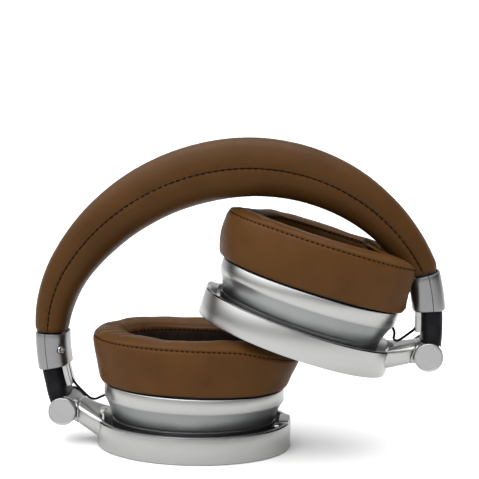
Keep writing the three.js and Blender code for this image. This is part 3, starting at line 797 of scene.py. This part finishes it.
# creases run out from the ends of the ear opening: where round the pad, width and depth
CREASES = [(2.45, 0.05, 0.6), (2.66, 0.04, 0.9), (2.87, 0.05, 0.8), (3.08, 0.04, 1.0),
           (3.3, 0.05, 0.9), (3.52, 0.04, 1.1), (3.74, 0.05, 0.9), (3.95, 0.05, 0.6),
           (0.1, 0.05, 0.4), (0.42, 0.05, 0.6), (5.9, 0.05, 0.6), (6.15, 0.04, 0.5)]
PER_SPAN = 5
AROUND = 240


def pad_top(side, x):
    if side == "right":
        return PAD_HIGH
    plane = RIGHT_PLACE[1] + (RIGHT_PLACE[0] - x) * math.tan(RIGHT_TILT) - 1.2
    blend = 2.0                              # the leather bends into the pressed plane
    gap = plane - PAD_HIGH
    return PAD_HIGH + 0.5 * (gap - math.sqrt(gap * gap + blend)) if gap < 12 else PAD_HIGH


def pad_wall(side, y, z):
    if side == "left":
        return -PAD_A
    above = min(max((z - 33) / 20, 0), 1.1)
    wall = -44.2 + 11.5 * above + 9 * above ** 3
    return wall + (-PAD_A - wall) * smoothstep(abs(y), 14, 21)


def pad_rows(side):
    outline = PAD_SIDE[side] + PAD_CROWN + PAD_LIP[side] + PAD_INSIDE
    section = [(p.x, p.y) for p in spline(outline, (len(outline) - 1) * PER_SPAN + 1)]
    rows = []
    for i in range(AROUND):
        t = 2 * math.pi * i / AROUND
        ox, oy = oval(PAD_A - 0.4, PAD_B - 0.4, PAD_POWER, t)
        hx, hy = oval(HOLE_A, HOLE_B, 2, t)
        row = []
        for share, up in section:
            wall = pad_wall(side, oy, PAD_LOW + (PAD_HIGH - PAD_LOW) * up)
            start = max(ox, wall)
            x = start + (max(hx, wall + PAD_THIN) - start) * share
            if side == "left":                   # the end under the other ring is squeezed outwards
                x += PAD_SQUEEZE * smoothstep(x, 12, 46) * min(max(up, 0), 0.8)
            y = oy + (hy - oy) * share
            if side == "right":                  # the dent reaches across the crown too
                wall = pad_wall(side, y, PAD_LOW + (PAD_HIGH - PAD_LOW) * up)
                x = 0.5 * (x + wall + math.sqrt((x - wall) ** 2 + 0.6))
            sag = 0                              # the upper pad's free end hangs a little lower
            if side == "right":
                sag = smoothstep(x, 20, 45) * (0.7 + 1.9 * smoothstep(-oy, -12, 18))
            z = PAD_LOW - 0.15 + (pad_top(side, x) - 0.15 - sag - PAD_LOW) * up
            row.append(sloped(Vector((x, y, z))))
        rows.append(row)
    return rows


def simulate(obj, pin_weights, limit):
    """Blows the pad up as cloth under pressure, keeps each point within its limit, applies it."""
    group = obj.vertex_groups.new(name="pin")
    for index, weight in enumerate(pin_weights):
        if weight > 0:
            group.add([index], weight, "REPLACE")
    rest = [v.co.copy() for v in obj.data.vertices]
    cloth = obj.modifiers.new("Cloth", "CLOTH")
    s = cloth.settings
    s.quality, s.mass = 5, 0.3
    s.tension_stiffness = s.compression_stiffness = 14
    s.shear_stiffness, s.bending_stiffness = 5, 0.4
    s.use_pressure, s.uniform_pressure_force = True, 4
    s.shrink_min = -0.006
    s.vertex_group_mass = "pin"
    s.pin_stiffness = 8
    s.effector_weights.gravity = 0
    cloth.point_cache.frame_start, cloth.point_cache.frame_end = 1, 20
    scene = bpy.context.scene
    for f in range(1, 21):
        scene.frame_set(f)
    moved = obj.evaluated_get(bpy.context.evaluated_depsgraph_get()).data
    points = [v.co.copy() for v in moved.vertices]
    obj.modifiers.clear()
    scene.frame_set(1)
    pushes = []
    for a, b, most in zip(rest, points, limit):
        push = b - a
        pushes.append(push * (most * 0.001 / max(push.length, most * 0.001)))
    n = len(pushes) // AROUND
    held = [weight > 0 for weight in pin_weights]
    for _ in range(10):                      # leather is stiff: no fold narrower than a few mm
        old, total = pushes, len(pushes)
        pushes = [p if held[i] else 0.4 * p + 0.15 * (
            old[(i + n) % total] + old[i - n] + old[i - 1] + old[(i + 1) % total])
            for i, p in enumerate(old)]
    for vertex, a, push in zip(obj.data.vertices, rest, pushes):
        vertex.co = a + push
    obj.data.update()


def pad(side):
    rows = pad_rows(side)
    n = len(rows[0])
    verts, faces = loft(rows, ring=True)
    obj = piece(f"{side}_pad_leather", verts, faces, CUP[side], None, LEATHER, extra=[PAD_INSIDE_PAINTED_SHADE])
    seams = [OUTER_SEAM * PER_SPAN, INNER_SEAM * PER_SPAN]
    # the faces past the inner seam, deep in the opening, take the painted shade
    for polygon in obj.data.polygons:
        if min(i % n for i in polygon.vertices) >= seams[1] + (4 if side == "right" else 0):
            polygon.material_index = 1
    weights, limits = [], []
    for i in range(AROUND):
        for j in range(n):
            base = j <= 2 * PER_SPAN + 3 or j >= n - 3
            seam = min(abs(j - s) for s in seams)
            weights.append(1 if base else (0.85 if seam == 0 else 0))
            local = rows[i][j]
            if side == "right":
                free = max(smoothstep(local.x, -30, -12), smoothstep(abs(local.y), 26, 33))
            else:
                free = smoothstep(-local.x, -16, 2)
            limits.append(0.08 + 0.9 * free)
    simulate(obj, weights, limits)
    finish_pad(obj, side, n, seams)
    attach(obj, f"{side}_cup")
    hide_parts(f"{side}_ear_pad")


def finish_pad(obj, side, n, seams):
    """Sews the seams in after the simulation: grooves, puckers, radial wrinkles and thread."""
    to_local = CUP[side].inverted()
    points = [to_local @ v.co for v in obj.data.vertices]

    def at(i, j):
        return points[(i % AROUND) * n + j % n]

    normals = {}
    for i in range(AROUND):
        for j in range(n):
            around = at(i + 1, j) - at(i - 1, j)
            across = at(i, j + 1) - at(i, j - 1)
            normals[i, j] = across.cross(around).normalized()
    probe = normals[0, OUTER_SEAM * PER_SPAN]
    sign = 1 if probe.x > 0 else -1
    runs = [0.0]
    for i in range(AROUND):
        runs.append(runs[-1] + (at(i + 1, seams[0]) - at(i, seams[0])).length)
    moved = []
    for i in range(AROUND):
        t = 2 * math.pi * i / AROUND
        for j in range(n):
            p, out = at(i, j), normals[i, j] * sign
            shift = 0.0
            for seam, depth in zip(seams, (0.42, 0.7)):
                d = (p - at(i, seam)).length
                shift -= depth * math.exp(-(d / 0.6) ** 2)
                pucker = math.cos(2 * math.pi * runs[i] / 2.5) * math.exp(-((d - 1.3) / 1.3) ** 2)
                shift += (0.07 if seam == seams[0] else 0.16) * pucker
            if seams[0] < j < seams[1]:
                middle = math.sin(math.pi * (j - seams[0]) / (seams[1] - seams[0])) ** 0.8
                fold = noise.noise(Vector((math.cos(t) * 5.2, math.sin(t) * 5.2, j * 0.012 + 3)))
                ends = 0.35 + 0.65 * abs(math.cos(t)) ** 2
                shift += 0.75 * fold * middle * ends
                crease = sum(depth * math.exp(-((t - at_t) / width) ** 2)
                             for at_t, width, depth in CREASES)
                shift -= crease * smoothstep(j, seams[0] + 8, seams[1] - 6)
            shift += 0.22 * noise.noise(p * 0.08)
            if side == "right":                  # drawn in where the headband passes
                press = (1 - smoothstep(p.x, -34, -14)) * smoothstep(p.z, 34, 42)
                shift = shift * (1 - 0.7 * press) - 0.6 * press
            moved.append(p + out * shift)
    for vertex, p in zip(obj.data.vertices, moved):
        vertex.co = CUP[side] @ p
    obj.data.update()
    line_sets = []
    for seam, pitch in zip(seams, (2.3, 2.2)):
        line = [moved[i * n + seam] + normals[i, seam] * sign * 0.12 for i in range(AROUND)]
        line.append(line[0])
        out = [normals[i % AROUND, seam] * sign for i in range(AROUND + 1)]
        line_sets.append(stitches(line, out, pitch, 1.45, 0.26, -0.05))
    piece(f"{side}_pad_stitching", *merged(line_sets), CUP[side], f"{side}_cup", THREAD)


# ------------------------------------------------------------------ leads
LEFT_HANG = [(-54.4, 24.8), (-51.6, 22.1), (-49, 19.9), (-46.4, 19.5), (-43.6, 20.8)]
RIGHT_HANG = [(-49.4, 21.8), (-47.4, 18.9), (-45.4, 16.7), (-43.6, 17), (-43, 19.6)]


def lead(side, hang):
    slot = [ARM[side] @ on_arm(s, n, 0) for s, n in ((17, -5.6), (13, -5.6), (10.6, -6.1))]
    into = [*hang, (-41.2, 21.7), (-38.6, 22)]
    path = [*slot, *(CUP[side] @ Vector((x, 0, z)) for x, z in into)]
    points = [p * 1000 for p in spline(path, 90)]
    obj = piece(f"{side}_lead", *tube(points, LEAD_R), Matrix.Scale(0.001, 4), None, RUBBER)
    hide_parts(f"{side}_cup_lead")
    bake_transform(obj)


# ------------------------------------------------------------------ the object
for upper in (True, False):
    leather_half(upper)
band_stitching()
for side in ("left", "right"):
    collar(side)
    screw(side)
    arm(side)
    rail(side)
    yoke(side)
    cup(side)
    pad(side)
audio_socket()
lead("left", LEFT_HANG)
lead("right", RIGHT_HANG)


# ------------------------------------------------------------------ floor and light
FLOOR_HALF, FLOOR_Z = 30, -0.0002        # metres


def floor():
    n = Nodes("pale_floor", (0.7, 0.7, 0.7), 0.8)
    n.roughness(n.noise(8), 0.75, 0.85)
    half = FLOOR_HALF
    rows = [(x * half, y * half, FLOOR_Z) for x, y in ((-1, -1), (1, -1), (1, 1), (-1, 1))]
    piece("floor", rows, [(0, 1, 2, 3)], Matrix.Identity(4), None, n.material)


def lamp(name, kind, place, power, target=(0, 0, 0.06), **settings):
    light = bpy.data.lights.new(name, kind)
    light.energy = power
    for key, value in settings.items():
        setattr(light, key, value)
    obj = bpy.data.objects.new(name, light)
    bpy.context.scene.collection.objects.link(obj)
    obj.location = place
    obj.rotation_euler = (Vector(target) - Vector(place)).to_track_quat("-Z", "Y").to_euler()


def lighting():
    """A white wall behind the object, a dim room in front of it and one large light above."""
    world = bpy.data.worlds.new("studio")
    bpy.context.scene.world = world
    world.use_nodes = True
    tree = world.node_tree
    background = tree.nodes["Background"]
    place = tree.nodes.new("ShaderNodeTexCoord")
    split = tree.nodes.new("ShaderNodeSeparateXYZ")
    tree.links.new(place.outputs["Generated"], split.inputs[0])

    def ramp(value, low, high, dark, light):
        span = tree.nodes.new("ShaderNodeMapRange")
        span.interpolation_type = "SMOOTHSTEP"
        ends = zip(("From Min", "From Max", "To Min", "To Max"), (low, high, dark, light))
        for key, number in ends:
            span.inputs[key].default_value = number
        tree.links.new(split.outputs[value], span.inputs["Value"])
        return span.outputs[0]
    total = tree.nodes.new("ShaderNodeMath")
    total.operation = "ADD"
    wall = tree.nodes.new("ShaderNodeMath")
    wall.operation = "MULTIPLY"
    tree.links.new(ramp("Y", 0.2, 0.7, 0, 1), wall.inputs[0])
    tree.links.new(ramp("Z", 0.11, 0.42, 1, 0.06), wall.inputs[1])
    tree.links.new(wall.outputs[0], total.inputs[0])
    tree.links.new(ramp("Z", 0.05, 0.9, 0.1, 0.3), total.inputs[1])
    above = tree.nodes.new("ShaderNodeVectorMath")
    above.operation = "DOT_PRODUCT"
    tree.links.new(place.outputs["Generated"], above.inputs[0])
    above.inputs[1].default_value = (-0.16, -0.22, 0.962)
    span = tree.nodes.new("ShaderNodeMapRange")
    span.interpolation_type = "SMOOTHSTEP"
    for key, number in zip(("From Min", "From Max", "To Max"), (0.3, 0.78, 3.7)):
        span.inputs[key].default_value = number
    tree.links.new(above.outputs["Value"], span.inputs["Value"])
    shaded = tree.nodes.new("ShaderNodeMath")
    shaded.operation = "MULTIPLY"
    tree.links.new(span.outputs[0], shaded.inputs[0])
    tree.links.new(ramp("X", 0.0, 0.6, 1, 0.45), shaded.inputs[1])
    everything = tree.nodes.new("ShaderNodeMath")
    everything.operation = "ADD"
    tree.links.new(total.outputs[0], everything.inputs[0])
    tree.links.new(shaded.outputs[0], everything.inputs[1])
    tree.links.new(everything.outputs[0], background.inputs["Strength"])
    background.inputs["Color"].default_value = (1, 1, 1, 1)
    lamp("key", "AREA", (-0.4, -0.7, 1.2), 2.5, shape="RECTANGLE", size=0.5, size_y=0.5)


floor()
lighting()
bpy.context.scene.view_settings.view_transform = "Standard"
